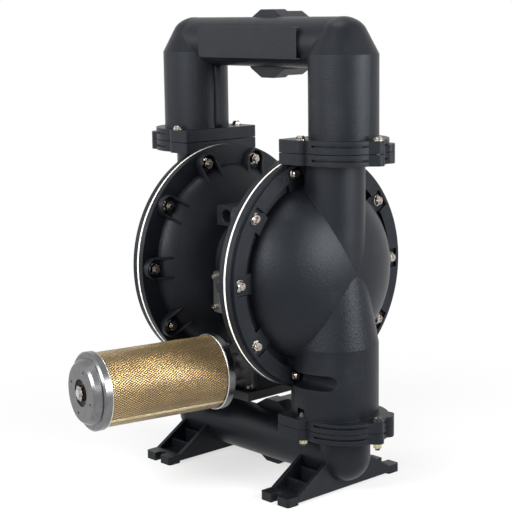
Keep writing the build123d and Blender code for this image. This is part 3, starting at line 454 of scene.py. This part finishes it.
@dataclass
class Silencer:
    """Exhaust silencer: its mesh sleeve, the seam strip along it and the rolled edges of its caps, which carry a
    lighter copy of the cap metal as a painted highlight.
    """

    bend: tuple[float, float, float] = (0.0, -0.088, 0.197)
    turn_deg: float = 11.0
    wall: float = 0.0014
    bead: float = 0.0011
    seam_at_deg: float = -137.0
    seam_width: float = 0.007
    seam_height: float = 0.0007
    seam_sink: float = 0.0008
    lip: float = 0.001
    lip_drop: float = 0.0006
    plain_from: float = 0.004
    columns: int = 180
    rows: int = 40
    seam_columns: int = 15
    seam_rows: int = 30
    bead_columns: int = 12

    def axis(self) -> Line3:
        """The silencer's axis, from the adapter's bend outwards."""
        t = math.radians(self.turn_deg)
        return Line3(Vector(self.bend), Vector((-math.sin(t), -math.cos(t), 0)))

    def sleeve(self) -> bpy.types.Object:
        """Tube whose radius is constant, with a small rolled edge at each end; its section is a closed loop."""
        axis = self.axis()
        a0, a1, r = axis.span("muffler_sleeve")
        plain = np.linspace(a0 + self.plain_from, a1 - self.plain_from, self.rows)
        runs = np.array([a0, a0 + self.lip, *plain, a1 - self.lip, a1])
        outer = np.full(runs.shape, r)
        outer[[0, -1]] -= self.lip_drop
        run = np.concatenate([runs, runs[::-1]])
        rad = np.concatenate([outer, np.full(runs.shape, r - self.wall)])
        t = np.linspace(0, 2 * math.pi, self.columns + 1)
        tt, ss = np.meshgrid(t, run)
        grid = axis.points(tt, np.repeat(rad[:, None], t.size, 1), ss)
        uv = np.stack([tt * r, ss], -1)
        piece = surface("silencer_mesh", grid, Look.MESH, "pump", uv, (True, False))
        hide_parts("muffler_sleeve")
        return piece

    def seam(self) -> bpy.types.Object:
        """Flat strip along the sleeve: height follows a raised half sine across its width."""
        axis = self.axis()
        a0, a1, r = axis.span("muffler_sleeve")
        half = self.seam_width / 2 / r
        across = np.linspace(-half, half, self.seam_columns)
        lift = self.seam_height * np.cos(across / half * math.pi / 2)
        ang = np.concatenate([across, across[::-1]]) + math.radians(self.seam_at_deg)
        rad = np.concatenate([r + lift, np.full(across.shape, r - self.seam_sink)])
        run = np.linspace(a0 + self.lip, a1 - self.lip, self.seam_rows)
        ss, _ = np.meshgrid(run, ang, indexing="ij")
        grid = axis.points(np.tile(ang, (run.size, 1)), np.tile(rad, (run.size, 1)), ss)
        return surface("silencer_seam", grid, Look.SEAM, "pump", None, (False, True))

    def beads(self) -> bpy.types.Object:
        """Rolled edges where the caps meet the sleeve: each is a ring, a small circle turned about the axis, in a
        much lighter copy of the caps' aluminium that paints a highlight along the rims.
        """
        axis = self.axis()
        rear, front = axis.span("muffler_rear_cap"), axis.span("muffler_front_cap")
        t, p = (np.linspace(0, 2 * math.pi, n + 1)[:-1] for n in (self.columns, self.bead_columns))
        tt, pp = np.meshgrid(t, p)
        rings = [axis.points(tt, r - self.bead + self.bead * np.cos(pp), run + self.bead * np.sin(pp))
                 for run, r in ((rear[1], rear[2]), (front[0], front[2]))]
        return surface("silencer_beads", np.stack(rings), Look.EDGE, "pump")

    def build(self) -> None:
        """Builds the sleeve, its seam and its beads."""
        for piece in (self.sleeve(), self.seam(), self.beads()):
            log.info("built %s", piece.name)


def rounded(t: np.ndarray, power: float = 7.0) -> tuple[np.ndarray, np.ndarray]:
    """Rounded square of half side 1: cosine and sine of t, each raised to two over the power."""
    c, s = np.cos(t), np.sin(t)
    return np.sign(c) * np.abs(c) ** (2 / power), np.sign(s) * np.abs(s) ** (2 / power)


@dataclass
class CastDetail:
    """Small cast forms: ribs down the columns, and walls round the nuts on the air caps."""

    column_x: float = 0.187
    column_r: float = 0.0585
    rib_width: float = 0.0123
    rib_proud: float = 0.0053
    rib_root: float = 0.006
    rib_z: tuple[float, float] = (0.6032, 0.7180)
    axis_z: float = 0.3736
    spot_r: float = 0.181
    spots: int = 10
    wall_r: float = 0.0174
    wall_t: float = 0.0044
    wall_x: float = 0.0885
    tail_r: float = 0.148
    slope: float = 0.36
    crest_rise: float = 0.001
    foot_sink: float = 0.003
    tail_rows: int = 11
    turn_rows: int = 21
    bowl_r: tuple[float, ...] = (0.084, 0.116, 0.146, 0.165, 0.168, 0.203)
    bowl_x: tuple[float, ...] = (0.045, 0.056, 0.074, 0.092, 0.101, 0.101)

    def ribs(self) -> bpy.types.Object:
        """Upright ribs: a rounded rectangle carried up the inner side of each column."""
        depth = self.rib_proud + self.rib_root
        u, v = rounded(np.linspace(0, 2 * math.pi, 41)[:-1])
        z = np.array([self.rib_z[0], *np.linspace(*self.rib_z, 12), self.rib_z[1]])
        size = np.ones_like(z)
        size[[0, -1]] = 0.0
        mid = self.column_x - self.column_r - self.rib_proud + depth / 2
        x, y = mid + np.outer(size, u) * depth / 2, np.outer(size, v) * self.rib_width / 2
        right = np.stack([x, y, np.repeat(z[:, None], u.size, 1)], -1)
        both = np.stack([right, right * (-1, 1, 1)])
        return surface("column_ribs", both, Look.CASTING, "pump", None, (False, True))

    def guards(self) -> bpy.types.Object:
        """Walls round the nuts: a rounded section carried along a U, out round the nut and in on to the bowl.

        The foot of the section lies just inside the bowl's profile, and its crest follows the seat's
        plane and then a straight slope that runs into the bowl.
        """
        turn = np.linspace(-math.pi / 2, math.pi / 2, self.turn_rows)
        run = np.linspace(self.tail_r, self.spot_r, self.tail_rows + 1)[:-1]
        still, full = np.zeros(self.tail_rows), np.ones(self.tail_rows)
        rho = np.concatenate([run, self.spot_r + self.wall_r * np.cos(turn), run[::-1]])
        out_r = np.concatenate([still, np.cos(turn), still])
        out_t = np.concatenate([-full, np.sin(turn), full])
        tau = self.wall_r * out_t
        bowl = np.interp(rho, self.bowl_r, self.bowl_x)
        crest = np.minimum(bowl + self.crest_rise, self.wall_x - np.maximum(self.spot_r - rho, 0) * self.slope)
        foot = bowl + self.foot_sink
        size = np.ones_like(rho)
        size[[0, -1]] = 0.0
        u, v = rounded(np.linspace(0, 2 * math.pi, 21)[:-1], 4.0)
        off = np.outer(size, u) * self.wall_t / 2
        r, t = rho[:, None] + out_r[:, None] * off, tau[:, None] + out_t[:, None] * off
        x = ((foot + crest) / 2)[:, None] - np.outer(size * (foot - crest) / 2, v)
        a = (np.arange(self.spots) * 2 * math.pi / self.spots)[:, None, None]
        y, z = r * np.cos(a) - t * np.sin(a), r * np.sin(a) + t * np.cos(a) + self.axis_z
        right = np.stack([np.broadcast_to(x, y.shape), y, z], -1)
        both = np.concatenate([right, right * (-1, 1, 1)])
        return surface("nut_walls", both, Look.CASTING, "pump", None, (False, True))

    def build(self) -> None:
        """Builds the ribs and the walls."""
        for piece in (self.ribs(), self.guards()):
            log.info("built %s", piece.name)


@dataclass
class PortThread:
    """Female pipe thread cut in one port."""

    name: str
    mouth: tuple[float, float, float]
    inward: float
    bore: float
    length: float
    pitch: float
    depth: float
    columns: int
    rows_per_pitch: int = 8
    proud: float = 0.0001
    sunk: float = 0.0005

    def build(self) -> None:
        """Thread sleeve: its radius is the bore less a triangle wave of the run in pitches and the turn."""
        y = np.linspace(0, self.length, int(self.length / self.pitch * self.rows_per_pitch))
        t = np.linspace(0, 2 * math.pi, self.columns + 1)[:-1]
        tt, yy = np.meshgrid(t, y)
        phase = yy / self.pitch - tt / (2 * math.pi)
        wave = 1 - np.abs(2 * (phase - np.floor(phase)) - 1)
        fade = np.clip(np.minimum(yy, self.length - yy) / self.pitch, 0, 1)
        inner = self.bore - self.proud - self.depth * wave * fade
        rr = np.concatenate([inner, np.full((2, t.size), self.bore + self.sunk)])
        yy = np.concatenate([yy, np.full((1, t.size), self.length), np.zeros((1, t.size))])
        tt = np.concatenate([tt, tt[:2]])
        x0, y0, z0 = self.mouth
        grid = np.stack([x0 + rr * np.cos(tt), y0 + self.inward * yy, z0 + rr * np.sin(tt)], -1)
        log.info("built %s", surface(self.name, grid, Look.CASTING, "pump").name)


# ---------------------------------------------------------------- studio
@dataclass
class Lamp:
    """One soft area lamp aimed at the pump."""

    name: str
    place: tuple[float, float, float]
    size: float
    power: float

    def build(self) -> None:
        """Makes the lamp."""
        light = bpy.data.lights.new(self.name, "AREA")
        light.shape, light.size, light.energy = "DISK", self.size, self.power
        lamp = bpy.data.objects.new(self.name, light)
        lamp.location = self.place
        lamp.rotation_mode = "QUATERNION"
        lamp.rotation_quaternion = (Vector(AIM) - Vector(self.place)).to_track_quat("-Z", "Y")
        bpy.context.scene.collection.objects.link(lamp)


@dataclass
class Studio:
    """Pale floor, white surroundings, lamps and the camera.

    clean is how much of the floor is plain white near the pump, dim the world's strength as light on
    it, and fade the distances between which the floor turns to plain white.
    """

    eye: tuple[float, float, float] = (1.7800, -1.6515, 0.8175)
    azimuth_deg: float = 47.64
    pitch_deg: float = 10.114
    roll_deg: float = -0.820
    lens_mm: float = 98.006
    sensor_mm: float = 36.0
    clean: float = 0.62
    dim: float = 0.17
    fade: tuple[float, float] = (0.30, 0.95)
    floor_r: tuple[float, ...] = (0.001, 1.0, 6.0)
    floor_columns: int = 96
    lamps: tuple[Lamp, ...] = (
        Lamp("key", (0.0, -1.75, 1.25), 1.05, 38.0),
        Lamp("side", (1.76, 0.45, 0.98), 1.15, 54.0),
        Lamp("front", (1.30, -2.05, 1.05), 0.9, 15.0),
        Lamp("left", (-1.70, -1.75, 1.05), 1.0, 12.0),
        Lamp("top", (-0.2, -0.2, 2.4), 0.9, 14.0),
    )

    def camera(self) -> None:
        """Camera whose turn is the azimuth, then the pitch, then the roll."""
        a, e, r = (math.radians(v) for v in (self.azimuth_deg, self.pitch_deg, self.roll_deg))
        back = Vector((math.sin(a) * math.cos(e), -math.cos(a) * math.cos(e), math.sin(e)))
        right = Vector((math.cos(a), math.sin(a), 0))
        up = back.cross(right)
        right, up = right * math.cos(r) + up * math.sin(r), up * math.cos(r) - right * math.sin(r)
        data = bpy.data.cameras.new("camera")
        data.lens, data.sensor_width = self.lens_mm, self.sensor_mm
        camera = bpy.data.objects.new("camera", data)
        turn = Matrix((right, up, back)).transposed().to_4x4()
        camera.matrix_world = Matrix.Translation(Vector(self.eye)) @ turn
        bpy.context.scene.collection.objects.link(camera)
        bpy.context.scene.camera = camera

    def surroundings(self) -> None:
        """World that is white where it is seen or mirrored, and a softer light elsewhere."""
        world = bpy.data.worlds.new("studio")
        world.use_nodes = True
        tree = world.node_tree
        path = tree.nodes.new("ShaderNodeLightPath")
        back = tree.nodes["Background"]
        seen = path.outputs["Is Camera Ray"]
        for ray in ("Is Glossy Ray", "Is Transmission Ray"):
            both = tree.nodes.new("ShaderNodeMath")
            both.operation, both.use_clamp = "ADD", True
            tree.links.new(seen, both.inputs[0])
            tree.links.new(path.outputs[ray], both.inputs[1])
            seen = both.outputs[0]
        level = tree.nodes.new("ShaderNodeMapRange")
        level.inputs["To Min"].default_value, level.inputs["To Max"].default_value = self.dim, 1.0
        tree.links.new(seen, level.inputs["Value"])
        tree.links.new(level.outputs[0], back.inputs["Strength"])
        back.inputs["Color"].default_value = (1, 1, 1, 1)
        bpy.context.scene.world = world

    def floor(self) -> None:
        """Round pale floor whose height is nil everywhere, and which fades to white away from the pump.

        Its glow counts only for rays that see or mirror it, so it adds no light to the pump.
        """
        t = np.linspace(0, 2 * math.pi, self.floor_columns + 1)[:-1]
        rr, tt = np.meshgrid(np.array(self.floor_r), t, indexing="ij")
        grid = np.stack([rr * np.cos(tt), rr * np.sin(tt), np.zeros_like(rr)], -1)
        rows, cols = grid.shape[:2]
        i, j = (a.ravel() for a in np.meshgrid(np.arange(rows - 1), np.arange(cols), indexing="ij"))
        k = (j + 1) % cols
        faces = np.stack([i * cols + j, (i + 1) * cols + j, (i + 1) * cols + k, i * cols + k], 1)
        mesh = bpy.data.meshes.new("floor")
        mesh.from_pydata(grid.reshape(-1, 3), [], faces)
        g = Graph("pale_floor")
        patch = g.noise(3.0)
        paper = g.node("ShaderNodeBsdfPrincipled", {}, {
            "Base Color": g.mix(patch, (0.90, 0.90, 0.90), (0.93, 0.93, 0.93)), "Roughness": 0.9})
        glow = g.node("ShaderNodeEmission", {}, {"Strength": 1.0})
        ray = g.node("ShaderNodeLightPath", {}, {})
        seen = (g.out(ray, "Is Camera Ray") + g.out(ray, "Is Glossy Ray")
                + g.out(ray, "Is Transmission Ray")).least(1.0)
        away = g.node("ShaderNodeVectorMath", {"operation": "LENGTH"}, {0: g.place()})
        far = g.out(away, "Value").step(*self.fade)
        blend = g.node("ShaderNodeMixShader", {}, {
            0: seen * (self.clean + far * (1.0 - self.clean)), 1: g.out(paper), 2: g.out(glow)})
        g.tree.links.new(blend.outputs[0], g.end.inputs[0])
        mesh.materials.append(g.material)
        piece = bpy.data.objects.new("floor", mesh)
        bpy.context.scene.collection.objects.link(piece)

    def build(self) -> None:
        """Builds the studio."""
        bpy.context.scene.view_settings.view_transform = "Standard"
        self.camera()
        self.surroundings()
        self.floor()
        for lamp in self.lamps:
            lamp.build()


def main() -> None:
    """Builds the dressed pump."""
    logging.basicConfig(level=logging.INFO)
    fluid = {"inward": -1.0, "bore": 0.0425, "length": 0.033, "pitch": 0.00318, "depth": 0.0012, "columns": 96}
    air = {"inward": 1.0, "bore": 0.0121, "length": 0.018, "pitch": 0.0018, "depth": 0.0007, "columns": 48}
    threads = (
        PortThread("outlet_thread", (0, 0.0745, 0.7555), **fluid),
        PortThread("inlet_thread", (0, 0.0745, 0.061), **fluid),
        PortThread("air_inlet_thread", (0, -0.0955, 0.466), **air),
    )
    for part in (Dressing(), CastDetail(), *threads, Silencer(), Studio()):
        part.build()
        log.info("finished %s", type(part).__name__)


if __name__ == "__main__":
    main()
